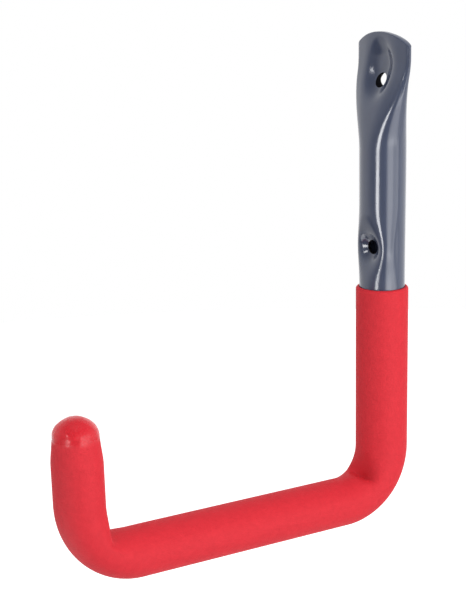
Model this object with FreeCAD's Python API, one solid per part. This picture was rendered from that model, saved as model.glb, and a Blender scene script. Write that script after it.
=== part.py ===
import FreeCAD, Part
import math
import os

os.makedirs("parts", exist_ok=True)

# Garage utility hook: one bent steel tube, pressed flat at its upper end, in a closed-end soft sleeve.
# Millimetres, +Z up. The origin is midway between the two screw holes on the axis of the wall leg.
# The arm reaches out towards -Y and the wall is behind the leg on +Y.

# Tube
TUBE_OD = 19.05
TUBE_WALL = 1.0
LOWER_BEND_OVAL = 0.11
FRONT_BEND_OVAL = 0.06
ARM_OVAL = 0.05
LOWER_PINCH = 2.0
FRONT_PINCH = 4.4
PINCH_REACH = 0.17
PINCH_ROUND = 0.05

# Screw holes
HOLE_SPACING = 69.0
HOLE_D = 5.9
DIMPLE_DEPTH = 4.6
DIMPLE_SPAN = 14.4
DIMPLE_WIDTH = 10.8
DIMPLE_BULGE = 1.1
BULGE_SPAN = 20.0

# Flattened upper end
END_WIDTH = 31.2
END_THICK = 2.0
END_EDGE = 4.2
END_ABOVE_HOLE = 19.6
END_ARC_R = 25.0
END_BACK = 1.8
END_TROUGH = 1.0
END_HOLLOW = 1.7
END_DIMPLE = 2.4
END_DIMPLE_SPAN = 21.0
END_DIMPLE_WIDTH = 13.0
END_DIMPLE_LIFT = 2.5
PRESS_BELOW_HOLE = 28.8
PRESS_ABOVE_HOLE = 6.5

# Bent path: the corners are where the straight axes would cross
LEG_DROP = 109.5
ARM_LENGTH = 150.4
ARM_RISE = 2.5
TIP_LEAN = 1.0
LOWER_BEND_R = 21.5
FRONT_BEND_R = 26.0
TIP_TUBE_LENGTH = 40.0

# Sleeve
SLEEVE_BELOW_HOLE = 17.3
SLEEVE_WALL_LEG = 1.5
SLEEVE_WALL_ARM = 1.05
SLEEVE_WALL_TIP = 0.7
SLEEVE_FIT = 0.05
SLEEVE_LIP = 1.1
RING_ABOVE_CORNER = 51.0
RING_R = 9.1
CREASE_DEPTH = 0.2
CREASE_WIDTH = 0.7
DOME_HEIGHT = 7.6
DOME_SKIN = 2.4

# Control points around each section
AROUND = 36

# Places that follow from the dimensions above
TUBE_R = TUBE_OD / 2
UPPER_HOLE_Z = HOLE_SPACING / 2
LOWER_HOLE_Z = -HOLE_SPACING / 2
TOP_Z = UPPER_HOLE_Z + END_ABOVE_HOLE
CORNER_Z = LOWER_HOLE_Z - LEG_DROP
SLEEVE_TOP_Z = LOWER_HOLE_Z - SLEEVE_BELOW_HOLE
RISE = math.radians(ARM_RISE)
LEAN = math.radians(TIP_LEAN)
LOWER_TURN = math.pi / 2 + RISE
FRONT_TURN = math.pi / 2 - RISE - LEAN
LOWER_TANGENT = LOWER_BEND_R * math.tan(LOWER_TURN / 2)
FRONT_TANGENT = FRONT_BEND_R * math.tan(FRONT_TURN / 2)
ARM_DIR = (-math.cos(RISE), math.sin(RISE))
ARM_NORMAL = (math.sin(RISE), math.cos(RISE))
TIP_DIR = (-math.sin(LEAN), math.cos(LEAN))
TIP_NORMAL = (math.cos(LEAN), math.sin(LEAN))
TIP_CORNER = (ARM_LENGTH * ARM_DIR[0], CORNER_Z + ARM_LENGTH * ARM_DIR[1])
LEG_END_Z = CORNER_Z + LOWER_TANGENT
ROUND_PERIMETER = 2 * math.pi * TUBE_R
END_PERIMETER = 2 * (END_WIDTH - END_EDGE) + math.pi * END_EDGE
END_STRETCH = END_PERIMETER / ROUND_PERIMETER - 1
SMOOTHING = 3 / (2 + math.cos(2 * math.pi / AROUND))


def ease(x):
    """Zero below 0, one above 1, with level ends."""
    x = min(1.0, max(0.0, x))
    return x * x * (3 - 2 * x)


def leg_shape(z):
    """Radius of the two edge beads, half the web between them, their centre, and the web's two hollows."""
    low = UPPER_HOLE_Z - PRESS_BELOW_HOLE
    press = ease((z - low) / (PRESS_BELOW_HOLE + PRESS_ABOVE_HOLE))
    bead = TUBE_R - (TUBE_R - END_EDGE / 2) * press
    settle = ease((z - SLEEVE_TOP_Z) / (low - SLEEVE_TOP_Z))
    perimeter = ROUND_PERIMETER * (1 + END_STRETCH * (0.2 * settle + 0.8 * press))
    half_flat = (perimeter - 2 * math.pi * bead) / 4
    back = TUBE_R - (TUBE_R - END_BACK) * ease((z - low) / (PRESS_BELOW_HOLE + END_THICK))
    sink = ease((z - low) / PRESS_BELOW_HOLE)
    spare = max(0.0, 2 * bead - END_THICK)
    trough = min(END_TROUGH * sink, spare)
    hollow = min(END_HOLLOW * sink ** 2, spare - trough)
    return bead, half_flat, back - bead, trough, hollow


def leg_section(z, grow):
    """Section of the wall leg at height z, grown outwards by grow, as (x, y) control points."""
    bead, half_flat, centre, trough, hollow = leg_shape(z)
    web = half_flat + 0.4 * bead
    radius = (bead + grow) * SMOOTHING
    low = (z - LOWER_HOLE_Z) / (DIMPLE_SPAN / 2)
    high = (z - UPPER_HOLE_Z - END_DIMPLE_LIFT) / (END_DIMPLE_SPAN / 2)
    swell = (z - LOWER_HOLE_Z) / (BULGE_SPAN / 2)
    bulge = DIMPLE_BULGE * math.exp(-swell ** 2)
    points = []
    for i in range(AROUND):
        turn = 2 * math.pi * i / AROUND
        c = math.cos(turn)
        s = math.sin(turn)
        spread = math.copysign(1 - (1 - abs(c)) ** 3, c)
        rim = radius + bulge * 2.6 * c * c * max(0.0, s)
        x = half_flat * spread + rim * c
        front = rim * s
        side = min(1.0, abs(x) / web)
        dish = (1 - side * side) ** 2
        if s > 0:
            across = x / (DIMPLE_WIDTH / 2)
            front -= trough * dish
            front -= DIMPLE_DEPTH * math.exp(-(low ** 2 + across ** 2) ** 1.6) * ease(2 * s)
        else:
            front += hollow * dish
        beside = x / (END_DIMPLE_WIDTH / 2)
        front -= END_DIMPLE * math.exp(-(high ** 2 + beside ** 2) ** 2)
        points.append((x, centre - front))
    return points


def oval_section(flat, grow, pinch):
    """Section of the bent tube, flattened in the plane of the bends and pinched on its inner side."""
    points = []
    across = (TUBE_R * (1 + flat) + grow) * SMOOTHING
    inwards = (TUBE_R * (1 - flat) + grow) * SMOOTHING
    for i in range(AROUND):
        turn = 2 * math.pi * i / AROUND
        inner = inwards * math.sin(turn) - pinch * max(0.0, math.sin(turn))
        points.append((across * math.cos(turn), inner))
    return points


def place(points, centre, normal):
    """Stands section points at a place on the path, with normal the inward side of the bends."""
    row = []
    for a, n in points:
        row.append(FreeCAD.Vector(a, centre[0] + n * normal[0], centre[1] + n * normal[1]))
    return row


def leg_row(z, grow):
    """One row of control points round the wall leg."""
    return [FreeCAD.Vector(x, y, z) for x, y in leg_section(z, grow)]


def spread_over(start, end, step):
    """Evenly spaced values from start to end, about step apart, both ends included."""
    count = max(2, int(math.ceil(abs(end - start) / step)))
    return [start + (end - start) * i / count for i in range(count + 1)]


def fold(part):
    """How far the inner side of a bend is folded in, part of the way round: sharpest in the middle."""
    away = part - 0.5
    reach = math.hypot(away, PINCH_ROUND) - PINCH_ROUND
    return math.exp(-reach / PINCH_REACH) * (1 - 4 * away * away)


def bend_rows(corner, before, after, radius, turn, flats, walls, pinch, steps):
    """Rows round one bend; flats and walls give the ovality and the growth before, within and after it."""
    tangent = radius * math.tan(turn / 2)
    start = (corner[0] - before[0] * tangent, corner[1] - before[1] * tangent)
    inner = (after[0] - before[0] * math.cos(turn), after[1] - before[1] * math.cos(turn))
    size = math.hypot(inner[0], inner[1])
    inner = (inner[0] / size, inner[1] / size)
    centre = (start[0] + inner[0] * radius, start[1] + inner[1] * radius)
    reach = radius * 3 / (2 + math.cos(turn / steps))
    rows = []
    for i in range(steps + 1):
        part = i / steps
        angle = turn * part
        normal = (
            inner[0] * math.cos(angle) - before[0] * math.sin(angle),
            inner[1] * math.cos(angle) - before[1] * math.sin(angle),
        )
        spot = (centre[0] - normal[0] * reach, centre[1] - normal[1] * reach)
        ends = flats[0] + (flats[2] - flats[0]) * ease(part)
        hump = math.sin(math.pi * part) ** 2
        flat = ends + (flats[1] - ends) * hump
        wall = walls[0] + (walls[1] - walls[0]) * ease(part)
        rows.append(place(oval_section(flat, wall, pinch * fold(part)), spot, normal))
    return rows


def path_rows(top_rows, leg_wall, arm_wall, tip_wall, tip_reach):
    """Rows from the foot of the leg, round both bends and up the tip, after the rows given for the leg."""
    rows = list(top_rows)
    down = (0.0, -1.0)
    rows += bend_rows(
        (0.0, CORNER_Z), down, ARM_DIR, LOWER_BEND_R, LOWER_TURN,
        (0.0, LOWER_BEND_OVAL, ARM_OVAL), (leg_wall, arm_wall), LOWER_PINCH, 18,
    )
    first = LOWER_TANGENT
    last = ARM_LENGTH - FRONT_TANGENT
    for along in spread_over(first, last, 13.0)[1:-1]:
        spot = (along * ARM_DIR[0], CORNER_Z + along * ARM_DIR[1])
        rows.append(place(oval_section(ARM_OVAL, arm_wall, 0.0), spot, ARM_NORMAL))
    rows += bend_rows(
        TIP_CORNER, ARM_DIR, TIP_DIR, FRONT_BEND_R, FRONT_TURN,
        (ARM_OVAL, FRONT_BEND_OVAL, ARM_OVAL), (arm_wall, tip_wall), FRONT_PINCH, 18,
    )
    for up in spread_over(FRONT_TANGENT, tip_reach, 4.0)[1:]:
        spot = (TIP_CORNER[0] + up * TIP_DIR[0], TIP_CORNER[1] + up * TIP_DIR[1])
        rows.append(place(oval_section(ARM_OVAL, tip_wall, 0.0), spot, TIP_NORMAL))
    return rows


def skin(rows):
    """Solid bounded by one smooth skin over the rows of control points and a flat lid at each end."""
    lengthwise = len(rows)
    poles = [[rows[j][i] for j in range(lengthwise)] for i in range(AROUND)]
    surface = Part.BSplineSurface()
    surface.buildFromPolesMultsKnots(
        poles,
        [1] * (AROUND + 1),
        [4] + [1] * (lengthwise - 4) + [4],
        [float(i) for i in range(AROUND + 1)],
        [float(i) for i in range(lengthwise - 2)],
        True, False, 3, 3,
    )
    side = surface.toShape()
    faces = [side]
    for value in (0.0, float(lengthwise - 3)):
        edge = surface.vIso(value).toShape()
        faces.append(Part.Face(Part.Wire([edge])))
    shell = Part.makeShell(faces)
    shell.sewShape()
    solid = Part.makeSolid(shell)
    if solid.Volume < 0:
        solid.reverse()
    return solid


def leg_heights(top, bottom):
    """Heights of the rows down the leg: closer together where the end and the dimple are pressed."""
    pressed = min(top, LOWER_HOLE_Z - 0.8 * BULGE_SPAN)
    heights = []
    if top > pressed:
        heights += spread_over(top, pressed, 2.2)[:-1]
    heights += spread_over(min(top, pressed), bottom, 11.0)[:-1]
    return heights


def pin(z, radius):
    """Cylinder across the leg from front to back at height z."""
    reach = 4 * TUBE_OD
    return Part.makeCylinder(radius, 2 * reach, FreeCAD.Vector(0, -reach, z), FreeCAD.Vector(0, 1, 0))


def rounded_top():
    """Everything below the arc that trims the flattened end."""
    reach = 2 * END_WIDTH
    centre_z = TOP_Z - END_ARC_R
    cylinder = Part.makeCylinder(
        END_ARC_R, 2 * reach, FreeCAD.Vector(0, -reach, centre_z), FreeCAD.Vector(0, 1, 0)
    )
    return cylinder


def hook_tube():
    """Bent steel tube with its flattened, drilled upper end."""
    over = TOP_Z + END_THICK
    outer_rows = [leg_row(z, 0.0) for z in leg_heights(over, LEG_END_Z)]
    outer = skin(path_rows(outer_rows, 0.0, 0.0, 0.0, TIP_TUBE_LENGTH))
    hollow_top = UPPER_HOLE_Z - HOLE_D
    inner_rows = [leg_row(z, -TUBE_WALL) for z in leg_heights(hollow_top, LEG_END_Z)]
    inner = skin(path_rows(inner_rows, -TUBE_WALL, -TUBE_WALL, -TUBE_WALL, TIP_TUBE_LENGTH + TUBE_WALL))
    body = outer.cut(inner)
    arc = rounded_top()
    width = 2 * END_WIDTH
    corner = FreeCAD.Vector(-width, -width, TOP_Z - END_ARC_R)
    block = Part.makeBox(2 * width, 2 * width, 3 * END_ARC_R, corner)
    body = body.cut(block.cut(arc))
    body = body.cut(pin(UPPER_HOLE_Z, HOLE_D / 2))
    body = body.cut(pin(LOWER_HOLE_Z, HOLE_D / 2))
    return body


def tip_point(up):
    """Point on the tip's axis a distance above the front corner."""
    return FreeCAD.Vector(0, TIP_CORNER[0] + up * TIP_DIR[0], TIP_CORNER[1] + up * TIP_DIR[1])


def tip_cylinder(radius, low, high):
    """Cylinder on the tip's axis between two distances above the front corner."""
    axis = FreeCAD.Vector(0, TIP_DIR[0], TIP_DIR[1])
    return Part.makeCylinder(radius, high - low, tip_point(low), axis)


def dome():
    """Rounded end of the sleeve: a shallow crease round its foot, then a low, slightly flat-topped dome."""
    base = RING_ABOVE_CORNER
    neck = RING_R - CREASE_DEPTH
    foot = RING_R - CREASE_DEPTH / 3
    low = base - CREASE_WIDTH
    steps = 12
    rise = []
    for i in range(steps + 1):
        turn = math.pi / 2 * i / steps
        out = math.cos(turn) ** 1.08
        up = math.sin(turn) ** 0.97
        rise.append(FreeCAD.Vector(foot * out, 0, base + CREASE_WIDTH / 2 + DOME_HEIGHT * up))
    rise[-1] = FreeCAD.Vector(0, 0, rise[-1].z)
    a = FreeCAD.Vector(0, 0, low)
    b = FreeCAD.Vector(neck, 0, low)
    c = FreeCAD.Vector(neck, 0, base)
    curve = Part.BSplineCurve()
    curve.interpolate(
        Points=rise,
        InitialTangent=FreeCAD.Vector(0, 0, 1),
        FinalTangent=FreeCAD.Vector(-1, 0, 0),
    )
    edges = [
        Part.makeLine(a, b),
        Part.makeLine(b, c),
        Part.makeLine(c, rise[0]),
        curve.toShape(),
        Part.makeLine(rise[-1], a),
    ]
    profile = Part.Face(Part.Wire(edges))
    solid = profile.revolve(FreeCAD.Vector(0, 0, 0), FreeCAD.Vector(0, 0, 1), 360)
    turn = FreeCAD.Rotation(FreeCAD.Vector(1, 0, 0), TIP_LEAN)
    solid.Placement = FreeCAD.Placement(tip_point(0), turn)
    return solid


def grip_sleeve():
    """Soft red sleeve from below the lower screw hole round both bends to its closed, domed end."""
    lip = SLEEVE_LIP
    rows = [
        leg_row(SLEEVE_TOP_Z, SLEEVE_WALL_LEG - lip),
        leg_row(SLEEVE_TOP_Z, SLEEVE_WALL_LEG - lip / 3),
        leg_row(SLEEVE_TOP_Z - lip / 2, SLEEVE_WALL_LEG),
    ]
    rows += [leg_row(z, SLEEVE_WALL_LEG) for z in spread_over(SLEEVE_TOP_Z - 2 * lip, LEG_END_Z, 8.0)[:-1]]
    rows = path_rows(rows, SLEEVE_WALL_LEG, SLEEVE_WALL_ARM, SLEEVE_WALL_TIP, TIP_TUBE_LENGTH)
    ring = RING_ABOVE_CORNER - CREASE_WIDTH / 2
    full = TUBE_R + SLEEVE_WALL_TIP
    for up in spread_over(TIP_TUBE_LENGTH, ring, 3.0)[1:]:
        part = ease((up - TIP_TUBE_LENGTH) / (ring - TIP_TUBE_LENGTH))
        flat = ARM_OVAL * (1 - part)
        shrink = (full - RING_R) * part
        spot = (TIP_CORNER[0] + up * TIP_DIR[0], TIP_CORNER[1] + up * TIP_DIR[1])
        rows.append(place(oval_section(flat, SLEEVE_WALL_TIP - shrink, 0.0), spot, TIP_NORMAL))
    outer = skin(rows).fuse(dome())
    start = SLEEVE_TOP_Z + SLEEVE_WALL_LEG
    bore_rows = [leg_row(z, SLEEVE_FIT) for z in spread_over(start, LEG_END_Z, 8.0)[:-1]]
    bore = skin(path_rows(bore_rows, SLEEVE_FIT, SLEEVE_FIT, SLEEVE_FIT, TIP_TUBE_LENGTH))
    pocket_r = RING_R - DOME_SKIN
    pocket_top = RING_ABOVE_CORNER + DOME_HEIGHT - 1.5 * DOME_SKIN
    pocket = tip_cylinder(pocket_r, TIP_TUBE_LENGTH - TUBE_WALL, pocket_top)
    return outer.cut(bore).cut(pocket)


tube = hook_tube()
sleeve = grip_sleeve()
for name, shape in (("hook_tube", tube), ("grip_sleeve", sleeve)):
    box = shape.BoundBox
    print(name, "solids", len(shape.Solids), "valid", shape.isValid(), "volume", round(shape.Volume, 1))
    print("  x", round(box.XMin, 2), round(box.XMax, 2), "y", round(box.YMin, 2), round(box.YMax, 2),
          "z", round(box.ZMin, 2), round(box.ZMax, 2))
    shape.Solids[0].exportStep("parts/" + name + ".step")
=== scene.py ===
# %% [markdown]
# # A garage utility hook
# The real hook is one length of steel tube, bent twice and pressed flat at its screw end, with a soft red
# sleeve pulled over the part that carries things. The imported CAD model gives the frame: where each piece
# is and how large it may be. This lesson makes the two surfaces that a person sees, in the same metres.

# %% Load the frame
import math

import bmesh
import bpy
from mathutils import Matrix, Vector


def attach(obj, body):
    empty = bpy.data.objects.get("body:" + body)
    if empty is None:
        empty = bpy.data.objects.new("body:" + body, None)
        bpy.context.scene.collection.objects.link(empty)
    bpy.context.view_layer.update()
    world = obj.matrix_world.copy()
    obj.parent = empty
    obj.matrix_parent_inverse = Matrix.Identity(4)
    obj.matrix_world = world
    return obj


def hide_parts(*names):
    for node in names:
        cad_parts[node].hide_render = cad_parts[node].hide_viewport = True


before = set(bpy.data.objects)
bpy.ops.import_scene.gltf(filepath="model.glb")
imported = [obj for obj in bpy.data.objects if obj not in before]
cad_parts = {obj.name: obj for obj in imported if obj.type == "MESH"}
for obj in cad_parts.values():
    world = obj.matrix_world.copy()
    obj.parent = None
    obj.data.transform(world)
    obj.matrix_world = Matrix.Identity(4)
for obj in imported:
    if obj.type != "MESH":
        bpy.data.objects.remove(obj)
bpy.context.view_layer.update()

SCENE = bpy.context.scene
MM = 0.001

# %% [markdown]
# ## The bent path
# Both pieces follow the same line: down the wall leg, round the lower bend, out along the arm and up
# the tip. A pipe bender's drawing gives such a line as its straight runs and the radius of each bend, so
# the path here is only its corners. Geometry Nodes round them later with Fillet Curve.

# %% Sizes of the bent path
TUBE_R = 9.525 * MM
HOLE_SPACING = 69.0 * MM
LEG_DROP = 109.5 * MM
ARM_LENGTH = 150.4 * MM
ARM_RISE = math.radians(2.5)
TIP_LEAN = math.radians(1.0)
LOWER_BEND_R = 21.5 * MM
FRONT_BEND_R = 26.0 * MM
TIP_TUBE_LENGTH = 40.0 * MM
TUBE_WALL = 1.0 * MM

UPPER_HOLE_Z = HOLE_SPACING / 2
LOWER_HOLE_Z = -HOLE_SPACING / 2
CORNER = Vector((0, 0, LOWER_HOLE_Z - LEG_DROP))
ARM_DIR = Vector((0, -math.cos(ARM_RISE), math.sin(ARM_RISE)))
TIP_DIR = Vector((0, -math.sin(TIP_LEAN), math.cos(TIP_LEAN)))
TIP_CORNER = CORNER + ARM_DIR * ARM_LENGTH
LOWER_TURN = math.pi / 2 + ARM_RISE
FRONT_TURN = math.pi / 2 - ARM_RISE - TIP_LEAN
LOWER_TANGENT = LOWER_BEND_R * math.tan(LOWER_TURN / 2)
FRONT_TANGENT = FRONT_BEND_R * math.tan(FRONT_TURN / 2)
LEG_END_Z = CORNER.z + LOWER_TANGENT


def path_lengths(start_z):
    """Lengths along the path from a height on the leg to where each bend starts and ends."""
    lower_start = start_z - LEG_END_Z
    lower_end = lower_start + LOWER_BEND_R * LOWER_TURN
    front_start = lower_end + ARM_LENGTH - LOWER_TANGENT - FRONT_TANGENT
    front_end = front_start + FRONT_BEND_R * FRONT_TURN
    return {
        "Lower bend start": lower_start,
        "Lower bend end": lower_end,
        "Front bend start": front_start,
        "Front bend end": front_end,
    }


def corner_path(name, stops):
    """An object of bare edges through stops, each a place, its bend radius and the cuts after it."""
    mesh = bpy.data.meshes.new(name)
    edges = [(i, i + 1) for i in range(len(stops) - 1)]
    mesh.from_pydata([place for place, bend, cuts in stops], edges, [])
    mesh.attributes.new("bend", "FLOAT", "POINT").data.foreach_set("value", [stop[1] for stop in stops])
    mesh.attributes.new("cuts", "INT", "POINT").data.foreach_set("value", [stop[2] for stop in stops])
    path = bpy.data.objects.new(name, mesh)
    SCENE.collection.objects.link(path)
    return path


print("tip corner, mm:", [round(v / MM, 2) for v in TIP_CORNER])

# %% [markdown]
# ## Arithmetic with nodes
# Geometry Nodes do their sums with Math nodes, one for each step, and a long formula becomes a long chain.
# A small class that turns Python's own signs into those nodes keeps the formulas as short as on paper.

# %% Fields
class Field:
    """A number that varies over a piece. Arithmetic on it adds Math nodes to its tree."""

    def __init__(self, tree, socket):
        self.tree = tree
        self.socket = socket

    def __add__(self, other):
        return calc("ADD", self, other)

    def __radd__(self, other):
        return calc("ADD", self, other)

    def __sub__(self, other):
        return calc("SUBTRACT", self, other)

    def __rsub__(self, other):
        return calc("SUBTRACT", other, self)

    def __mul__(self, other):
        return calc("MULTIPLY", self, other)

    def __rmul__(self, other):
        return calc("MULTIPLY", self, other)

    def __truediv__(self, other):
        return calc("DIVIDE", self, other)

    def __pow__(self, other):
        return calc("POWER", self, other)

    def __abs__(self):
        return calc("ABSOLUTE", self)


def calc(operation, *values):
    """Adds one Math node to the tree of the first field among values."""
    tree = next(value.tree for value in values if isinstance(value, Field))
    node = tree.nodes.new("ShaderNodeMath")
    node.operation = operation
    for socket, value in zip(node.inputs, values):
        if isinstance(value, Field):
            tree.links.new(value.socket, socket)
        else:
            socket.default_value = value
    return Field(tree, node.outputs[0])


def clamp(field):
    return calc("MINIMUM", calc("MAXIMUM", field, 0.0), 1.0)


def ease(field):
    """Zero below 0, one above 1, with level ends."""
    part = clamp(field)
    return part * part * (3 - 2 * part)


def bell(field):
    """One where the field is zero, falling away on both sides as e to the minus field."""
    return calc("EXPONENT", field * -1)


print("arithmetic nodes are ready")

# %% [markdown]
# ## Building trees
# A tree takes a path, makes a shape along it and hands back a plain mesh. These helpers add its nodes, give
# it one named input for each size, end it in real geometry and keep the result without the modifier.

# %% Trees
def add_node(tree, kind, inputs=None, **settings):
    """Adds a node, sets its properties, and links or sets the inputs given by name."""
    node = tree.nodes.new(kind)
    for name, value in settings.items():
        setattr(node, name, value)
    for name, value in (inputs or {}).items():
        if isinstance(value, Field):
            tree.links.new(value.socket, node.inputs[name])
        elif isinstance(value, bpy.types.NodeSocket):
            tree.links.new(value, node.inputs[name])
        else:
            node.inputs[name].default_value = value
    return node


def split_vector(tree, socket):
    """The x, y and z of a vector, as fields."""
    split = add_node(tree, "ShaderNodeSeparateXYZ", {"Vector": socket})
    return [Field(tree, out) for out in split.outputs]


def new_tree(name, sizes):
    """A geometry tree with a named input for each size. Returns it, its geometry and its size fields."""
    tree = bpy.data.node_groups.new(name, "GeometryNodeTree")
    tree.interface.new_socket("Geometry", in_out="OUTPUT", socket_type="NodeSocketGeometry")
    tree.interface.new_socket("Geometry", in_out="INPUT", socket_type="NodeSocketGeometry")
    for label in sizes:
        tree.interface.new_socket(label, in_out="INPUT", socket_type="NodeSocketFloat")
    entry = tree.nodes.new("NodeGroupInput")
    fields = {label: Field(tree, entry.outputs[label]) for label in sizes}
    return tree, entry.outputs["Geometry"], fields


def end_tree(tree, geometry, material):
    """Ends a tree in real geometry of one material."""
    real = add_node(tree, "GeometryNodeRealizeInstances", {"Geometry": geometry})
    painted = add_node(tree, "GeometryNodeSetMaterial", {"Geometry": real.outputs[0], "Material": material})
    exit_node = tree.nodes.new("NodeGroupOutput")
    tree.links.new(painted.outputs[0], exit_node.inputs["Geometry"])


def grow_on(path, tree, sizes):
    """Runs the tree on a path object with these sizes and keeps the result there as a plain mesh."""
    modifier = path.modifiers.new(tree.name, "NODES")
    modifier.node_group = tree
    for item in tree.interface.items_tree:
        if item.in_out == "INPUT" and item.name in sizes:
            modifier[item.identifier] = sizes[item.name]
    return keep_result(path)


def keep_result(piece):
    """Replaces a piece's mesh with what its modifiers make of it, and removes them."""
    graph = bpy.context.evaluated_depsgraph_get()
    mesh = bpy.data.meshes.new_from_object(piece.evaluated_get(graph), depsgraph=graph)
    piece.modifiers.clear()
    piece.data = mesh
    mesh.name = piece.name
    return piece


print("tree helpers are ready")

# %% [markdown]
# ## Fine grain, for both finishes
# Powder coat dries with a faint orange peel, and dipped vinyl has a fine dull grain. Both are small random
# unevenness, so one shader group makes it at any grain size, and each material uses it at its own strength.

# %% Shader group: fine grain
MOTTLE_SCALE = 0.3


def fine_grain_group():
    """Fine bumps, and a mottle about three times as coarse, of one grain size."""
    group = bpy.data.node_groups.new("fine grain", "ShaderNodeTree")
    size = group.interface.new_socket("Grain size", in_out="INPUT", socket_type="NodeSocketFloat")
    size.default_value = 1.0 * MM
    soft = group.interface.new_socket("Softness", in_out="INPUT", socket_type="NodeSocketFloat")
    soft.default_value = 0.5
    group.interface.new_socket("Height", in_out="OUTPUT", socket_type="NodeSocketFloat")
    group.interface.new_socket("Mottle", in_out="OUTPUT", socket_type="NodeSocketFloat")
    entry = group.nodes.new("NodeGroupInput")
    place = group.nodes.new("ShaderNodeTexCoord").outputs["Object"]
    grain_size = Field(group, entry.outputs["Grain size"])
    grain = add_node(group, "ShaderNodeTexNoise", {
        "Vector": place, "Scale": calc("DIVIDE", 1.0, grain_size), "Detail": 2.0,
        "Roughness": entry.outputs["Softness"],
    })
    mottle = add_node(group, "ShaderNodeTexNoise", {
        "Vector": place, "Scale": calc("DIVIDE", MOTTLE_SCALE, grain_size), "Detail": 3.0, "Roughness": 0.6,
    })
    exit_node = group.nodes.new("NodeGroupOutput")
    group.links.new(grain.outputs["Fac"], exit_node.inputs["Height"])
    group.links.new(mottle.outputs["Fac"], exit_node.inputs["Mottle"])
    return group


FINE_GRAIN = fine_grain_group()
print("shader group:", FINE_GRAIN.name)

# %% [markdown]
# ## Starting a material
# Both finishes are one Principled shader each. What is the same all over is set on its own sockets, and
# what varies is spread between two values by the grain. The gloss varies too, in the holes and on the formed
# end, and its socket also keeps the plain value, for a program that can't read the link.

# %% Material helpers
def new_material(name, constants):
    """A material with its own Principled shader, whose constant sockets are set directly."""
    material = bpy.data.materials.new(name)
    material.use_nodes = True
    shader = material.node_tree.nodes["Principled BSDF"]
    for label, value in constants.items():
        shader.inputs[label].default_value = value
    return material, material.node_tree, shader


def between(tree, field, low, high):
    """A field of 0 to 1 spread over low to high."""
    spread = add_node(tree, "ShaderNodeMapRange", {"Value": field, "To Min": low, "To Max": high})
    return spread.outputs["Result"]


def colour_between(tree, field, low, high):
    """A colour from low to high, each of which is a colour or another node's output."""
    mix = add_node(tree, "ShaderNodeMix", data_type="RGBA")
    tree.links.new(field, mix.inputs["Factor"])
    for socket, colour in ((mix.inputs[6], low), (mix.inputs[7], high)):
        if isinstance(colour, bpy.types.NodeSocket):
            tree.links.new(colour, socket)
        else:
            socket.default_value = colour
    return mix.outputs[2]


print("material helpers are ready")

# %% [markdown]
# ## Blue-grey powder coat
# The tube's paint is a dark glossy slate. Most of the light tone seen on it is reflection, so the colour
# is kept dark and the shader's own gloss does the rest. A weak orange peel breaks the reflections. The walls
# of the screw holes are bare steel, made near black and without gloss as painted shade for the shadow deep
# inside them. The material knows them by the distance from their axes.

# %% Material: tube paint
PAINT_DARK = (0.052, 0.066, 0.114, 1.0)
PAINT_LIGHT = (0.060, 0.075, 0.128, 1.0)
# Bare steel in the holes, made near black as painted shade for the shadow inside them.
HOLE_SHADE_STEEL = (0.010, 0.010, 0.012, 1.0)
PAINT_ROUGH = (0.14, 0.20)
PAINT_GLOSS = 0.5
STEEL_DULLNESS = 0.6
ORANGE_PEEL = 2.2 * MM
PEEL_SOFTNESS = 0.3
PEEL_STRENGTH = 0.003
PEEL_HEIGHT = 0.2 * MM
HOLE_R = 2.95 * MM
BURR = 0.06 * MM


def hole_wall_shade(tree):
    """One on the walls of the two screw holes, which are darkened as painted shade, and zero on the paint.
    """
    place = tree.nodes.new("ShaderNodeTexCoord").outputs["Object"]
    x, _, z = split_vector(tree, place)
    drop = abs(z) - UPPER_HOLE_Z
    return clamp((HOLE_R + BURR - calc("SQRT", x * x + drop * drop)) / (BURR / 2))


def tube_paint():
    """Glossy slate paint with a weak orange peel, and near-black bare steel in the holes as painted shade.
    """
    material, tree, shader = new_material("tube_paint", {"IOR": 1.55, "Specular IOR Level": PAINT_GLOSS})
    grain = add_node(tree, "ShaderNodeGroup", node_tree=FINE_GRAIN)
    grain.inputs["Grain size"].default_value = ORANGE_PEEL
    grain.inputs["Softness"].default_value = PEEL_SOFTNESS
    bare = hole_wall_shade(tree)
    paint = colour_between(tree, grain.outputs["Mottle"], PAINT_DARK, PAINT_LIGHT)
    # Painted shade: the hole walls turn near black, standing in for the shadow inside the holes.
    colour = colour_between(tree, bare.socket, paint, HOLE_SHADE_STEEL)
    tree.links.new(colour, shader.inputs["Base Color"])
    rough = Field(tree, between(tree, grain.outputs["Mottle"], *PAINT_ROUGH)) + bare * STEEL_DULLNESS
    tree.links.new(rough.socket, shader.inputs["Roughness"])
    # No gloss on the hole walls, so they stay dark as painted shade.
    tree.links.new((PAINT_GLOSS - bare * PAINT_GLOSS).socket, shader.inputs["Specular IOR Level"])
    bump = add_node(tree, "ShaderNodeBump", {
        "Height": grain.outputs["Height"], "Strength": PEEL_STRENGTH, "Distance": PEEL_HEIGHT,
    })
    tree.links.new(bump.outputs["Normal"], shader.inputs["Normal"])
    return material


TUBE_PAINT = tube_paint()
print("material:", TUBE_PAINT.name)

# %% [markdown]
# ## Red vinyl
# The sleeve is soft vinyl with a fine dull grain. Where its end was formed and closed the grain is pressed
# smooth, so the piece carries an attribute there, and the material makes it shinier by that attribute.

# %% Material: sleeve vinyl
VINYL_DEEP = (0.64, 0.022, 0.034, 1.0)
VINYL_FORMED = (0.68, 0.016, 0.028, 1.0)
VINYL_BRIGHT = (0.77, 0.034, 0.049, 1.0)
VINYL_ROUGH = (0.58, 0.68)
VINYL_GLOSS = 0.20
VINYL_GRAIN = 0.7 * MM
GRAIN_SOFTNESS = 0.6
GRAIN_HEIGHT = 0.25 * MM
FORMED_SMOOTHING = 0.36
FORMED_GLOSS = 0.20
FORMED_FLATTENING = 0.75


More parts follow.
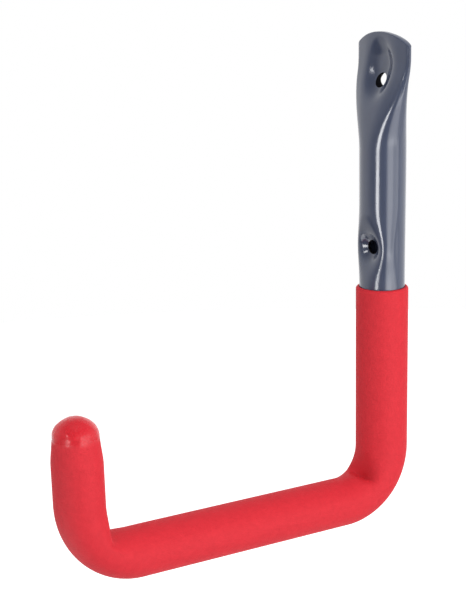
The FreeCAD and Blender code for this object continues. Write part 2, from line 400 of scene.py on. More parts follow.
def sleeve_vinyl():
    """Dull grained vinyl, smoother and shinier where the piece says that its end was formed."""
    material, tree, shader = new_material("sleeve_vinyl", {"IOR": 1.42, "Specular IOR Level": VINYL_GLOSS})
    grain = add_node(tree, "ShaderNodeGroup", node_tree=FINE_GRAIN)
    grain.inputs["Grain size"].default_value = VINYL_GRAIN
    grain.inputs["Softness"].default_value = GRAIN_SOFTNESS
    formed = Field(tree, add_node(tree, "ShaderNodeAttribute", attribute_name="formed_end").outputs["Fac"])
    grained = colour_between(tree, grain.outputs["Mottle"], VINYL_DEEP, VINYL_BRIGHT)
    colour = colour_between(tree, formed.socket, grained, VINYL_FORMED)
    tree.links.new(colour, shader.inputs["Base Color"])
    rough = Field(tree, between(tree, grain.outputs["Mottle"], *VINYL_ROUGH)) - formed * FORMED_SMOOTHING
    tree.links.new(rough.socket, shader.inputs["Roughness"])
    tree.links.new((VINYL_GLOSS + formed * FORMED_GLOSS).socket, shader.inputs["Specular IOR Level"])
    height = Field(tree, grain.outputs["Height"]) * (1 - formed * FORMED_FLATTENING)
    bump = add_node(tree, "ShaderNodeBump", {"Height": height, "Strength": 1.0, "Distance": GRAIN_HEIGHT})
    tree.links.new(bump.outputs["Normal"], shader.inputs["Normal"])
    return material


SLEEVE_VINYL = sleeve_vinyl()
print("material:", SLEEVE_VINYL.name)

# %% [markdown]
# ## How the tube's section changes along the path
# A tube that is bent cold goes a little oval: wider across the bend and thinner in its plane. On the
# inside of each bend the wall has nowhere to go and folds in. The sleeve hides the steel but shows both
# shapes, so both trees ask the same functions for the ovality and the fold at a length along the path.

# %% Section along the path
BENDS = {
    "Lower bend oval": 0.11,
    "Front bend oval": 0.06,
    "Arm oval": 0.05,
    "Lower bend fold": 5.8 * MM,
    "Front bend fold": 5.5 * MM,
    "Lower fold middle": 0.55,
    "Lower fold before": 0.20,
    "Lower fold past": 0.08,
    "Front fold middle": 0.5,
    "Front fold before": 0.18,
    "Front fold past": 0.15,
    "Fold rounding": 0.025,
}


def bent_curve(tree, geometry, bend_points):
    """Turns the corner path into a curve with rounded bends of so many points each."""
    line = add_node(tree, "GeometryNodeMeshToCurve", {"Mesh": geometry})
    bend = add_node(tree, "GeometryNodeInputNamedAttribute", {"Name": "bend"}, data_type="FLOAT")
    fillet = add_node(tree, "GeometryNodeFilletCurve", {
        "Curve": line.outputs[0], "Radius": bend.outputs["Attribute"], "Count": bend_points,
    }, mode="POLY")
    return fillet.outputs[0]


def bend_parts(size, length):
    """How far through each bend a length along the path is, from 0 before it to 1 after it."""
    lower = (length - size["Lower bend start"]) / (size["Lower bend end"] - size["Lower bend start"])
    front = (length - size["Front bend start"]) / (size["Front bend end"] - size["Front bend start"])
    return clamp(lower), clamp(front)


def ovality(size, lower, front):
    """Share by which the tube is wider across the bends and thinner in their plane."""
    lower_hump = calc("SINE", lower * math.pi) ** 2
    front_hump = calc("SINE", front * math.pi) ** 2
    settled = size["Arm oval"] * ease(lower)
    return (
        settled
        + (size["Lower bend oval"] - settled) * lower_hump
        + (size["Front bend oval"] - size["Arm oval"]) * front_hump
    )


def folded(size, part, bend):
    """Share of a bend's fold, part of the way round: a soft point with its own reach on each side."""
    away = part - size[bend + " fold middle"]
    rounding = size["Fold rounding"]
    reach = calc("SQRT", away * away + rounding * rounding) - rounding
    before = size[bend + " fold before"]
    span = before + (size[bend + " fold past"] - before) * calc("GREATER_THAN", away, 0.0)
    return bell(reach / span) * calc("MAXIMUM", 1 - away * away * 4, 0.0)


print("bends:", BENDS)

# %% [markdown]
# ## A skin round the path
# Curve to Mesh carries a circle along the curve. Each point also remembers the length, the centre and the
# heading of its ring, which say how deep it lies in a fold and which way the fold pushes it. The lower fold
# leans to one side, as on a tube that lay a little askew in the bender.

# %% Skin a path
LEAN_START = 0.88
LEAN_SLOPE = 0.6
LEAN_POWER = 3


def wrap_tube(tree, curve, size, half_depth, corners):
    """Skins a curve with a round tube. Returns the mesh, each point's length, and its fold in y and z."""
    along = add_node(tree, "GeometryNodeSplineParameter").outputs["Length"]
    centre = add_node(tree, "GeometryNodeInputPosition").outputs[0]
    heading = add_node(tree, "GeometryNodeInputTangent").outputs[0]
    catch = tree.nodes.new("GeometryNodeCaptureAttribute")
    tree.links.new(curve, catch.inputs[0])
    for i, (kind, socket) in enumerate((("FLOAT", along), ("VECTOR", centre), ("VECTOR", heading))):
        catch.capture_items.new(kind, "ring %d" % i)
        tree.links.new(socket, catch.inputs[i + 1])
    ring = add_node(tree, "GeometryNodeCurvePrimitiveCircle", {"Resolution": corners, "Radius": 1.0})
    skin = add_node(tree, "GeometryNodeCurveToMesh", {
        "Curve": catch.outputs[0], "Profile Curve": ring.outputs[0],
        "Scale": half_depth(Field(tree, along)), "Fill Caps": True,
    })
    length = Field(tree, catch.outputs[1])
    lower, front = bend_parts(size, length)
    x, y, z = split_vector(tree, centre)
    ring_y, ring_z = split_vector(tree, catch.outputs[2])[1:]
    heading_y, heading_z = split_vector(tree, catch.outputs[3])[1:]
    out_y = y - ring_y
    out_z = z - ring_z
    reach = calc("SQRT", x * x + out_y * out_y + out_z * out_z)
    inwards = calc("MAXIMUM", (out_y * heading_z - out_z * heading_y) / reach, 0.0)
    lean = inwards ** LEAN_POWER * ease(x / reach * LEAN_SLOPE + LEAN_START)
    lower_fold = size["Lower bend fold"] * folded(size, lower, "Lower") * lean
    front_fold = size["Front bend fold"] * folded(size, front, "Front")
    depth = (lower_fold + front_fold) * inwards
    return skin.outputs[0], length, (depth * heading_z * -1, depth * heading_y)


def place_fields(tree):
    """The x, y and z of each point, as fields."""
    return split_vector(tree, add_node(tree, "GeometryNodeInputPosition").outputs[0])


def move_to(tree, geometry, x, y, z):
    """Sets each point's place."""
    place = add_node(tree, "ShaderNodeCombineXYZ", {"X": x, "Y": y, "Z": z})
    return add_node(tree, "GeometryNodeSetPosition", {
        "Geometry": geometry, "Position": place.outputs[0],
    }).outputs[0]


print("skin helpers are ready")

# %% [markdown]
# ## The red sleeve
# The sleeve is a closed tube of soft vinyl: thicker on the leg, stretched thinner on the tip, with a crease
# round the tip where its end was formed, and a low dome. One radius law along the path gives the outside
# and a second gives the bore. Both skins start at the same ring, the inner edge of the lip, and are
# welded there.

# %% Sizes of the grip sleeve
SLEEVE_TOP_Z = LOWER_HOLE_Z - 17.3 * MM
LIP = 1.2 * MM
RING_ABOVE_CORNER = 51.0 * MM
DOME_HEIGHT = 7.9 * MM
CREASE_WIDTH = 1.0 * MM
LUMP_SIZE = 4.0 * MM
POCKET_ABOVE_RING = 3.0 * MM
SLEEVE_PATH = path_lengths(SLEEVE_TOP_Z)
TUBE_END = SLEEVE_PATH["Front bend end"] + TIP_TUBE_LENGTH - FRONT_TANGENT
RING = TUBE_END + RING_ABOVE_CORNER - TIP_TUBE_LENGTH
SLEEVE_SIZES = {
    **SLEEVE_PATH,
    **BENDS,
    "Tube radius": TUBE_R,
    "Leg wall": 1.5 * MM,
    "Arm wall": 1.05 * MM,
    "Tip wall": 0.7 * MM,
    "Lip": LIP,
    "Fit": 0.05 * MM,
    "Tube end": TUBE_END,
    "Ring": RING,
    "Ring radius": 9.1 * MM,
    "Crease depth": 0.12 * MM,
    "Crease width": CREASE_WIDTH,
    "Dome height": DOME_HEIGHT,
    "Lump height": 0.5 * MM,
    "Pocket radius": 6.7 * MM,
    "Pocket end": RING + POCKET_ABOVE_RING,
}


def sleeve_wall(size, lower, front):
    """The sleeve's thickness, from the leg's to the arm's and on to the tip's."""
    leg = size["Leg wall"]
    arm = size["Arm wall"]
    return leg + (arm - leg) * ease(lower) + (size["Tip wall"] - arm) * ease(front)


def sleeve_section(size, length):
    """Half the sleeve's depth in the plane of the bends, and its width as a multiple of its depth."""
    lower, front = bend_parts(size, length)
    taper = ease((length - size["Tube end"]) / (size["Ring"] - size["Tube end"]))
    flat = ovality(size, lower, front) * (1 - taper)
    narrow = (size["Tube radius"] + size["Tip wall"] - size["Ring radius"]) * taper
    inside = size["Lip"] - calc("MINIMUM", length, size["Lip"])
    lip = size["Lip"] - calc("SQRT", size["Lip"] * size["Lip"] - inside * inside)
    crease = size["Crease depth"] * bell(((length - size["Ring"]) / size["Crease width"]) ** 2)
    past_edge = calc("GREATER_THAN", length, 0.0)
    wall = sleeve_wall(size, lower, front) - narrow - lip - crease
    offset = size["Fit"] + (wall - size["Fit"]) * past_edge
    depth = size["Tube radius"] * (1 - flat) + offset
    width = size["Tube radius"] * (1 + flat) + offset
    return depth, width / depth


def bore_section(size, length):
    """The same two measures of the bore, which narrows to a pocket past the end of the tube."""
    lower, front = bend_parts(size, length)
    past = calc("GREATER_THAN", length, size["Tube end"])
    flat = ovality(size, lower, front) * (1 - past)
    full = size["Tube radius"] + size["Fit"]
    radius = full + (size["Pocket radius"] - full) * past
    depth = radius - size["Tube radius"] * flat
    width = radius + size["Tube radius"] * flat
    return depth, width / depth


print("sleeve ends, mm along the path:", round(RING / MM, 2), "and its dome above that")

# %% [markdown]
# ## Growing the sleeve
# The tree skins the path twice, once for each law, turns the bore to face the tube and welds the two. Small
# lumps on the formed end come from noise, and an attribute marks that end for the vinyl.

# %% Tree: grip sleeve
SLEEVE_CORNERS = 120
SLEEVE_BEND_POINTS = 90
SLEEVE_WELD = 0.004 * MM
SLEEVE_SHARP = math.radians(50)
LIP_STEP = 0.01 * MM


def sleeve_outside(tree, curve, size):
    """The outer skin: its rings are drawn together and raised over the end to make the dome."""
    def dome_turn(length):
        return clamp((length - size["Ring"]) / size["Dome height"]) * (math.pi / 2)

    def half_depth(length):
        return sleeve_section(size, length)[0] * calc("COSINE", dome_turn(length))

    skin, length, fold = wrap_tube(tree, curve, size, half_depth, SLEEVE_CORNERS)
    ratio = sleeve_section(size, length)[1]
    turn = dome_turn(length)
    rise = (calc("SINE", turn) - turn / (math.pi / 2)) * size["Dome height"]
    x, y, z = place_fields(tree)
    shaped = move_to(tree, skin, x * ratio, y + rise * TIP_DIR.y + fold[0], z + rise * TIP_DIR.z + fold[1])
    formed = ease((length - size["Ring"] + 2 * size["Crease width"]) / (2 * size["Crease width"]))
    spot = add_node(tree, "GeometryNodeInputPosition").outputs[0]
    noise = add_node(tree, "ShaderNodeTexNoise", {"Vector": spot, "Scale": 1 / LUMP_SIZE, "Detail": 1.0})
    lump = (Field(tree, noise.outputs["Fac"]) - 0.5) * size["Lump height"] * formed
    outwards = add_node(tree, "ShaderNodeVectorMath", operation="SCALE")
    tree.links.new(add_node(tree, "GeometryNodeInputNormal").outputs[0], outwards.inputs[0])
    tree.links.new(lump.socket, outwards.inputs["Scale"])
    uneven = add_node(tree, "GeometryNodeSetPosition", {"Geometry": shaped, "Offset": outwards.outputs[0]})
    return add_node(tree, "GeometryNodeStoreNamedAttribute", {
        "Geometry": uneven.outputs[0], "Name": "formed_end", "Value": formed,
    }, data_type="FLOAT", domain="POINT").outputs[0]


def sleeve_bore(tree, curve, size):
    """The inner skin, turned round to face the tube. Its last rings close to a flat pocket end."""
    def closing(length):
        left = size["Ring"] + size["Dome height"] - size["Pocket end"]
        return clamp((length - size["Pocket end"]) / left)

    def half_depth(length):
        return bore_section(size, length)[0] * (1 - closing(length))

    skin, length, fold = wrap_tube(tree, curve, size, half_depth, SLEEVE_CORNERS)
    ratio = bore_section(size, length)[1]
    back = calc("MAXIMUM", length - size["Pocket end"], 0.0)
    x, y, z = place_fields(tree)
    shaped = move_to(tree, skin, x * ratio, y - back * TIP_DIR.y + fold[0], z - back * TIP_DIR.z + fold[1])
    return add_node(tree, "GeometryNodeFlipFaces", {"Mesh": shaped}).outputs[0]


def sleeve_tree():
    """Both skins along the bent path, welded at the lip."""
    tree, geometry, size = new_tree("grip sleeve", SLEEVE_SIZES)
    cuts = add_node(tree, "GeometryNodeInputNamedAttribute", {"Name": "cuts"}, data_type="INT")
    curve = add_node(tree, "GeometryNodeSubdivideCurve", {
        "Curve": bent_curve(tree, geometry, SLEEVE_BEND_POINTS), "Cuts": cuts.outputs["Attribute"],
    }).outputs[0]
    both = tree.nodes.new("GeometryNodeJoinGeometry")
    tree.links.new(sleeve_bore(tree, curve, size), both.inputs[0])
    tree.links.new(sleeve_outside(tree, curve, size), both.inputs[0])
    welded = add_node(tree, "GeometryNodeMergeByDistance", {
        "Geometry": both.outputs[0], "Distance": SLEEVE_WELD,
    })
    end_tree(tree, welded.outputs[0], SLEEVE_VINYL)
    return tree


def make_sleeve():
    """The sleeve's path, cut finer at the lip, the crease and the dome, and the sleeve grown on it."""
    def tip(above):
        return TIP_CORNER + TIP_DIR * above

    path = corner_path("red_sleeve", [
        ((0, 0, SLEEVE_TOP_Z), 0.0, 0),
        ((0, 0, SLEEVE_TOP_Z - LIP_STEP), 0.0, 6),
        ((0, 0, SLEEVE_TOP_Z - LIP), 0.0, 12),
        (CORNER, LOWER_BEND_R, 0),
        (TIP_CORNER, FRONT_BEND_R, 0),
        (tip(TIP_TUBE_LENGTH), 0.0, 16),
        (tip(RING_ABOVE_CORNER - 3 * CREASE_WIDTH), 0.0, 16),
        (tip(RING_ABOVE_CORNER + 3 * CREASE_WIDTH), 0.0, 24),
        (tip(RING_ABOVE_CORNER + DOME_HEIGHT), 0.0, 0),
    ])
    return grow_on(path, sleeve_tree(), SLEEVE_SIZES)


sleeve = make_sleeve()
sleeve.data.shade_smooth()
sleeve.data.set_sharp_from_angle(angle=SLEEVE_SHARP)
print("sleeve faces:", len(sleeve.data.polygons), "size mm:", [round(v / MM, 2) for v in sleeve.dimensions])

# %% [markdown]
# ## The pressed tube
# A press flattens the tube's end between two shaped dies. The wall keeps its length round the section, so
# the flat end is wider than the tube, with a round bead down each edge, a dimple round the hole in front
# and a hollow behind. A second die pushes a dimple into the front lower down, and its rim swells out.

# %% Sizes of the pressed tube
TOP_Z = UPPER_HOLE_Z + 19.6 * MM
EDGE_ROUND = 0.35 * MM
TUBE_SIZES = {
    **path_lengths(TOP_Z),
    **BENDS,
    "Tube radius": TUBE_R,
    "Grow": 0.0,
    "Sleeve top": SLEEVE_TOP_Z,
    "Upper hole": UPPER_HOLE_Z,
    "Lower hole": LOWER_HOLE_Z,
    "Press below hole": 28.8 * MM,
    "Press above hole": 10.0 * MM,
    "End width": 31.2 * MM,
    "End thickness": 2.0 * MM,
    "End edge": 4.2 * MM,
    "End back": 2.4 * MM,
    "End shoulder": 0.8 * MM,
    "End hollow": 4.6 * MM,
    "End dimple": 2.6 * MM,
    "End dimple span": 22.0 * MM,
    "End dimple width": 13.5 * MM,
    "End dimple lift": 4.5 * MM,
    "End top": TOP_Z,
    "End arc radius": 25.0 * MM,
    "Edge round": EDGE_ROUND,
    "Dimple depth": 2.8 * MM,
    "Dimple span": 17.5 * MM,
    "Dimple width": 12.0 * MM,
    "Dimple bulge": 1.1 * MM,
    "Bulge span": 20.0 * MM,
    "Lower cup": 2.2 * MM,
    "Upper cup": 0.9 * MM,
    "Lower cup radius": 5.0 * MM,
    "Upper cup radius": 5.2 * MM,
}
print("pressed tube:", len(TUBE_SIZES), "sizes")

# %% [markdown]
# ## Where the press moves a point
# Sculpting the end by hand would lose its even beads. Instead each point of a plain round tube is moved by a
# rule: its section opens into two beads and a web, and soft bell shapes sink the dimples and their cups.

# %% Pressed points
EARLY_STRETCH = 0.2
BEAD_SHARE = 0.4
DIMPLE_POWER = 1.2
CUP_POWER = 1.5
END_DIMPLE_POWER = 2
# The rim swells by c * c * s of the section's turn, which is at most 1 / 2.6.
BULGE_SCALE = 2.6


def pressed_shape(size, z):
    """Bead radius, half the web between beads, their centre, the press's sink and the back's hollow."""
    radius = size["Tube radius"]
    thick = size["End thickness"]
    low = size["Upper hole"] - size["Press below hole"]
    press = ease((z - low) / (size["Press below hole"] + size["Press above hole"]))
    sink = ease((z - low) / size["Press below hole"])
    edge = size["End edge"]
    bead = radius - (radius - edge / 2) * press
    settle = ease((z - size["Sleeve top"]) / (low - size["Sleeve top"]))
    round_length = radius * (2 * math.pi)
    flat_length = (size["End width"] - edge) * 2 + edge * math.pi
    stretched = settle * EARLY_STRETCH + sink * (1 - EARLY_STRETCH)
    length = round_length + (flat_length - round_length) * stretched
    half_flat = (length - bead * (2 * math.pi)) / 4
    back = radius - (radius - size["End back"]) * ease((z - low) / (size["Press below hole"] + thick))
    spare = calc("MAXIMUM", bead * 2 - thick, 0.0)
    hollow = calc("MINIMUM", size["End hollow"] * sink * sink, spare)
    return bead, half_flat, back - bead, sink, hollow


def pressed_point(size, x, y, z, grow):
    """Where a point of the plain round leg goes when pressed, as its x and y, and its section's centre."""
    reach = calc("SQRT", x * x + y * y)
    c = x / reach
    s = y * -1 / reach
    ahead = calc("MAXIMUM", s, 0.0)
    bead, half_flat, centre, sink, hollow = pressed_shape(size, z)
    low = (z - size["Lower hole"]) / (size["Dimple span"] / 2)
    high = (z - size["Upper hole"] - size["End dimple lift"]) / (size["End dimple span"] / 2)
    swell = (z - size["Lower hole"]) / (size["Bulge span"] / 2)
    bulge = size["Dimple bulge"] * bell(swell * swell) * BULGE_SCALE
    spread = calc("SIGN", c) * (1 - (1 - abs(c)) ** 3)
    rim = bead + grow + bulge * c * c * ahead
    new_x = half_flat * spread + rim * c
    side = calc("MINIMUM", abs(new_x) / (half_flat + bead * BEAD_SHARE), 1.0)
    dish = (1 - side * side) ** 2
    across = new_x / (size["Dimple width"] / 2)
    beside = new_x / (size["End dimple width"] / 2)
    in_front = calc("GREATER_THAN", s, 0.0)
    struck = ease(ahead * 2)

    def cup(which):
        radius = size[which + " cup radius"]
        away = ((z - size[which + " hole"]) ** 2 + new_x * new_x) / (radius * radius)
        return size[which + " cup"] * bell(away ** CUP_POWER)

    front = (
        rim * s
        - size["End shoulder"] * sink * sink * ease(side) ** 3 * struck
        + hollow * dish * (1 - in_front)
        - size["Dimple depth"] * bell((low * low + across * across) ** DIMPLE_POWER) * struck
        - cup("Lower") * struck
        - cup("Upper")
        - size["End dimple"] * bell((high * high + beside * beside) ** END_DIMPLE_POWER)
    )
    return new_x, centre - front, centre


def arc_drop(size, x, z):
    """How far the trimmed arc brings a point down: fully at the top, not at all at the upper hole."""
    radius = size["End arc radius"]
    drop = radius - calc("SQRT", radius * radius - x * x)
    share = clamp((z - size["Upper hole"]) / (size["End top"] - size["Upper hole"]))
    return drop * share * share


print("press rules are ready")

# %% [markdown]
# ## Growing the tube
# The tree skins the bent path and then presses the points above the sleeve. Run once more with a smaller
# section, it makes the hollow that is cut out of the tube.

# %% Tree: pressed tube
TUBE_CORNERS = 200
HOLLOW_CORNERS = 90
TUBE_BEND_POINTS = 36
PRESS_CUTS = 200
HOLLOW_CUTS = 140
TUBE_WELD = 0.002 * MM
TOP_STEP = 0.005 * MM
TOP_TOLERANCE = 0.001 * MM


def tube_tree(corners):
    """A round tube along the bent path, pressed above the sleeve."""
    tree, geometry, size = new_tree("pressed tube", TUBE_SIZES)
    cuts = add_node(tree, "GeometryNodeInputNamedAttribute", {"Name": "cuts"}, data_type="INT")
    curve = add_node(tree, "GeometryNodeSubdivideCurve", {
        "Curve": bent_curve(tree, geometry, TUBE_BEND_POINTS), "Cuts": cuts.outputs["Attribute"],
    }).outputs[0]

    def oval_at(length):
        return ovality(size, *bend_parts(size, length))

    full = size["Tube radius"]

    def half_depth(length):
        return full * (1 - oval_at(length)) + size["Grow"]

    skin, length, fold = wrap_tube(tree, curve, size, half_depth, corners)
    oval = oval_at(length)
    x, y, z = place_fields(tree)
    wide = x * (full * (1 + oval) + size["Grow"]) / (full * (1 - oval) + size["Grow"])
    bent = move_to(tree, skin, wide, y + fold[0], z + fold[1])
    inside = size["Edge round"] - calc("MINIMUM", size["End top"] - z, size["Edge round"])
    rounding = size["Edge round"] - calc("SQRT", size["Edge round"] * size["Edge round"] - inside * inside)
    grow = size["Grow"] - rounding
    flat_x = pressed_point(size, x, y, z, grow)[0]
    trimmed_z = z - arc_drop(size, flat_x, z)
    new_x, new_y, centre = pressed_point(size, x, y, trimmed_z, grow)
    below_top = calc("GREATER_THAN", size["End top"] - z, TOP_TOLERANCE)
    place = add_node(tree, "ShaderNodeCombineXYZ", {
        "X": new_x, "Y": centre + (new_y - centre) * below_top, "Z": trimmed_z,
    })
    pressed = add_node(tree, "GeometryNodeSetPosition", {
        "Geometry": bent, "Position": place.outputs[0],
        "Selection": calc("GREATER_THAN", z, size["Sleeve top"]),
    })
    welded = add_node(tree, "GeometryNodeMergeByDistance", {
        "Geometry": pressed.outputs[0], "Distance": TUBE_WELD,
    })
    end_tree(tree, welded.outputs[0], TUBE_PAINT)
    return tree


def tube_path(name, upper_stops, tip_reach):
    """A path through the given upper stops, round both bends and so far up the tip."""
    return corner_path(name, upper_stops + [
        ((0, 0, SLEEVE_TOP_Z - TUBE_R), 0.0, 0),
        (CORNER, LOWER_BEND_R, 0),
        (TIP_CORNER, FRONT_BEND_R, 0),
        (TIP_CORNER + TIP_DIR * tip_reach, 0.0, 0),
    ])


end_stops = [
    ((0, 0, TOP_Z), 0.0, 0),
    ((0, 0, TOP_Z - TOP_STEP), 0.0, 5),
    ((0, 0, TOP_Z - EDGE_ROUND), 0.0, PRESS_CUTS),
]
tube = grow_on(tube_path("steel_tube", end_stops, TIP_TUBE_LENGTH), tube_tree(TUBE_CORNERS), TUBE_SIZES)
HOLLOW_TOP = UPPER_HOLE_Z - 2 * HOLE_R
hollow = grow_on(
    tube_path("tube_hollow", [((0, 0, HOLLOW_TOP), 0.0, HOLLOW_CUTS)], TIP_TUBE_LENGTH + TUBE_WALL),
    tube_tree(HOLLOW_CORNERS), {**TUBE_SIZES, **path_lengths(HOLLOW_TOP), "Grow": -TUBE_WALL},
)
print("tube faces:", len(tube.data.polygons), "hollow faces:", len(hollow.data.polygons))

# %% [markdown]
# ## Drilled holes
# After pressing, the maker drills two screw holes from the front. The drills here are simple closed solids,
# and Boolean modifiers take them away from the tube together with its hollow.

# %% Cut the tube
DRILL_SIDES = 64
DRILL_LENGTH = 8 * TUBE_R
TUBE_SHARP = math.radians(40)


def drill(name, z):
    """A closed cylinder along Y at a height on the leg."""
    mesh = bpy.data.meshes.new(name)
    shape = bmesh.new()
    bmesh.ops.create_cone(
        shape, cap_ends=True, segments=DRILL_SIDES, radius1=HOLE_R, radius2=HOLE_R, depth=DRILL_LENGTH,
        matrix=Matrix.Translation((0, 0, z)) @ Matrix.Rotation(math.pi / 2, 4, "X"),
    )
    shape.to_mesh(mesh)
    shape.free()
    tool = bpy.data.objects.new(name, mesh)
    SCENE.collection.objects.link(tool)
    return tool


cutters = [hollow, drill("upper_drill", UPPER_HOLE_Z), drill("lower_drill", LOWER_HOLE_Z)]
for cutter in cutters:
    cut = tube.modifiers.new(cutter.name, "BOOLEAN")
    cut.operation = "DIFFERENCE"
    cut.solver = "EXACT"
    cut.object = cutter
keep_result(tube)
for cutter in cutters:
    bpy.data.objects.remove(cutter)
tube.data.shade_smooth()
tube.data.set_sharp_from_angle(angle=TUBE_SHARP)
print("cut tube faces:", len(tube.data.polygons), "size mm:", [round(v / MM, 2) for v in tube.dimensions])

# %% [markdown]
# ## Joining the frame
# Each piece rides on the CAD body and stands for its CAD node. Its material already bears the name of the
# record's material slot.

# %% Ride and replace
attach(tube, "root")
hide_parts("hook_tube")
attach(sleeve, "root")
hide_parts("grip_sleeve")

# %% [markdown]
# ## Floor, light and white background
# The hook hangs on its wall screws, so the pale floor is well below it. A studio is white behind and under
# the object and dim on the camera's side, apart from its softboxes. That is what makes gloss look like
# gloss: dark in the middle, bright towards the edges. So the world is white to the camera, and dimmer in
# front to gloss.

# %% Floor and world
FLOOR_PALE = (0.8, 0.8, 0.8, 1)
FLOOR_DIM = (0.15, 0.15, 0.15, 1)
FLOOR_GLOW = 0.8
FLOOR_SHEEN = 0.6
FLOOR_Z = -0.42
FLOOR_R = 1.4
DIM_FLOOR_R = 0.9
DIM_AZIMUTH = math.radians(15)
DIM_START = 1.7
DIM_SLOPE = 4
AMBIENT = 0.45
WALLS = 1.45
ROOM = 0.35
ROOM_START = 0.2
ROOM_SLOPE = 1.2
CEILING = 0.25
CEILING_START = 0.6
CEILING_SLOPE = 1.6
ROOM_AZIMUTH = math.radians(54)
ROOM_SIDE = (math.sin(ROOM_AZIMUTH), -math.cos(ROOM_AZIMUTH))


def in_room(facing):
    """1 towards the dim room on the camera's side, 0 to the sides and behind."""
    return ease(facing * ROOM_SLOPE + ROOM_START)


def world_light(tree):
    """Strength of the world for gloss: a dim room in front and above, white to the sides and behind."""
    direction = tree.nodes.new("ShaderNodeTexCoord").outputs["Generated"]
    facing = add_node(tree, "ShaderNodeVectorMath", operation="DOT_PRODUCT")
    tree.links.new(direction, facing.inputs[0])
    facing.inputs[1].default_value = (*ROOM_SIDE, 0.0)
    front = in_room(Field(tree, facing.outputs["Value"]))
    above = ease(split_vector(tree, direction)[2] * CEILING_SLOPE - CEILING_START)
    return WALLS * (1 - front * (1 - ROOM / WALLS)) * (1 - above * (1 - CEILING))


def white_world():
    """A world that is white to the camera, studio walls to gloss and a plain level to all else."""
    world = bpy.data.worlds.new("white studio")
    world.use_nodes = True
    tree = world.node_tree
    tree.nodes.clear()
    rays = tree.nodes.new("ShaderNodeLightPath")
    seen = Field(tree, rays.outputs["Is Camera Ray"])
    glossy = Field(tree, rays.outputs["Is Glossy Ray"])
    other = glossy * world_light(tree) + (1 - glossy) * AMBIENT
    strength = seen + (1 - seen) * other
    light = add_node(tree, "ShaderNodeBackground", {"Color": (1, 1, 1, 1), "Strength": strength})
    exit_node = tree.nodes.new("ShaderNodeOutputWorld")
    tree.links.new(light.outputs[0], exit_node.inputs["Surface"])
    SCENE.world = world


def floor_finish():
    """Pale and matte. It glows to the camera, so that it is white round the shadow, and is dim to gloss."""
    material = bpy.data.materials.new("pale_floor")
    material.use_nodes = True
    tree = material.node_tree
    tree.nodes.clear()
    rays = tree.nodes.new("ShaderNodeLightPath")
    seen = Field(tree, rays.outputs["Is Camera Ray"])
    glossy = Field(tree, rays.outputs["Is Glossy Ray"])
    x, y, _ = split_vector(tree, tree.nodes.new("ShaderNodeTexCoord").outputs["Object"])
    reach = calc("SQRT", x * x + y * y)
    near = 1 - ease((reach - DIM_FLOOR_R) / DIM_FLOOR_R)
    facing = (x * math.sin(DIM_AZIMUTH) - y * math.cos(DIM_AZIMUTH)) / reach
    dim = near * ease(facing * DIM_SLOPE - DIM_START)
    shade = colour_between(tree, (dim * glossy).socket, FLOOR_PALE, FLOOR_DIM)
    matte = add_node(tree, "ShaderNodeBsdfDiffuse", {"Color": shade})
    glow = add_node(tree, "ShaderNodeEmission", {
        "Color": (1, 1, 1, 1), "Strength": seen * FLOOR_GLOW + glossy * (1 - dim) * FLOOR_SHEEN,
    })
    both = tree.nodes.new("ShaderNodeAddShader")
    tree.links.new(matte.outputs[0], both.inputs[0])
    tree.links.new(glow.outputs[0], both.inputs[1])
    exit_node = tree.nodes.new("ShaderNodeOutputMaterial")
    tree.links.new(both.outputs[0], exit_node.inputs["Surface"])
    return material


def pale_floor():
    """A round floor under the hook, which belongs to the stage."""
    shape = bmesh.new()
    level = Matrix.Translation((0, 0, FLOOR_Z))
    bmesh.ops.create_circle(shape, cap_ends=True, segments=96, radius=FLOOR_R, matrix=level)
    mesh = bpy.data.meshes.new("pale_floor")
    shape.to_mesh(mesh)
    shape.free()
    mesh.materials.append(floor_finish())
    floor = bpy.data.objects.new("pale_floor", mesh)
    SCENE.collection.objects.link(floor)


white_world()
pale_floor()
print("floor at", FLOOR_Z, "m")

# %% [markdown]
# ## Softboxes and cards
# Gloss shows the shape of its lights, and a matte finish shows only how much light falls on it. So two
# softboxes light the hook and aren't seen in its gloss, and the cards are seen in its gloss and don't light
# it. One broad softbox at the side does both.

# %% Softboxes
def softbox(name, azimuth, elevation, distance, width, height, radiance):
    """An area light facing the hook. Azimuth is from -Y towards +X, in degrees; radiance 1 looks white."""
    light = bpy.data.lights.new(name, "AREA")
    light.shape = "RECTANGLE"
    light.size = width
    light.size_y = height
    light.energy = radiance * math.pi * width * height
    turn = math.radians(azimuth)
    lift = math.radians(elevation)
    away = Vector((math.sin(turn) * math.cos(lift), -math.cos(turn) * math.cos(lift), math.sin(lift)))
    lamp = bpy.data.objects.new(name, light)
    lamp.location = away * distance
    lamp.rotation_mode = "QUATERNION"
    lamp.rotation_quaternion = away.to_track_quat("Z", "Y")
    lamp.visible_camera = False
    SCENE.collection.objects.link(lamp)
    return lamp


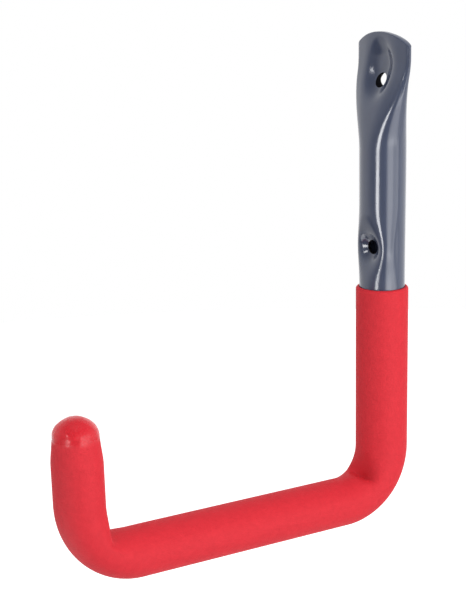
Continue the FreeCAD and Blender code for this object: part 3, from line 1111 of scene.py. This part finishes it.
# Each row: azimuth and elevation in degrees, distance, width and height in metres, and radiance.
softbox("broad softbox", 101, -3, 1.1, 1.2, 1.4, 2.2)
for name, *place in (
    ("overhead softbox", 54, 80, 1.0, 0.9, 0.9, 1.6),
    ("front softbox", 15, -4, 1.0, 0.3, 0.3, 4.0),
):
    softbox(name, *place).visible_glossy = False
for name, *place in (
    ("middle card", 82, -3, 1.0, 0.6, 1.3, 1.8),
    ("narrow card", 20, -12.5, 1.0, 0.26, 0.22, 15.0),
    ("glint card", 12, 21, 1.0, 0.17, 0.17, 15.0),
    ("low front card", -20, -50, 0.5, 0.24, 0.3, 3.2),
    ("low side card", 92, -29, 0.75, 0.7, 0.3, 1.7),
):
    softbox(name, *place).visible_diffuse = False

# %% [markdown]
# ## Camera
# The view was worked out from the photograph's outline: how far round the hook the camera stands, how far
# it looks down, and its focal length. It aims past the lower corner of the path.

# %% Camera
FRAME_HEIGHT = 600
SENSOR = 36
VIEW_AZIMUTH = math.radians(54.08)
VIEW_ELEVATION = math.radians(14.0)
VIEW_ROLL = math.radians(-1.01)
FOCAL_PIXELS = 1614.87
CORNER_RIGHT = 64.3 * MM
CORNER_UP = -83.35 * MM
CORNER_DISTANCE = 701.8 * MM


def make_camera():
    """The camera, turned about its line of sight by the roll and set back from the corner it aims past."""
    flat = math.cos(VIEW_ELEVATION)
    back = Vector((math.sin(VIEW_AZIMUTH) * flat, -math.cos(VIEW_AZIMUTH) * flat, math.sin(VIEW_ELEVATION)))
    level = Vector((math.cos(VIEW_AZIMUTH), math.sin(VIEW_AZIMUTH), 0))
    upright = back.cross(level)
    right = level * math.cos(VIEW_ROLL) + upright * math.sin(VIEW_ROLL)
    up = upright * math.cos(VIEW_ROLL) - level * math.sin(VIEW_ROLL)
    data = bpy.data.cameras.new("camera")
    data.sensor_width = SENSOR
    data.lens = SENSOR * FOCAL_PIXELS / FRAME_HEIGHT
    camera = bpy.data.objects.new("camera", data)
    camera.rotation_mode = "QUATERNION"
    camera.rotation_quaternion = Matrix((right, up, back)).transposed().to_quaternion()
    camera.location = CORNER - right * CORNER_RIGHT - up * CORNER_UP + back * CORNER_DISTANCE
    SCENE.collection.objects.link(camera)
    SCENE.camera = camera
    return camera


camera = make_camera()
SCENE.view_settings.view_transform = "Standard"
print("camera at, mm:", [round(v / MM, 1) for v in camera.location], "lens", round(camera.data.lens, 2))
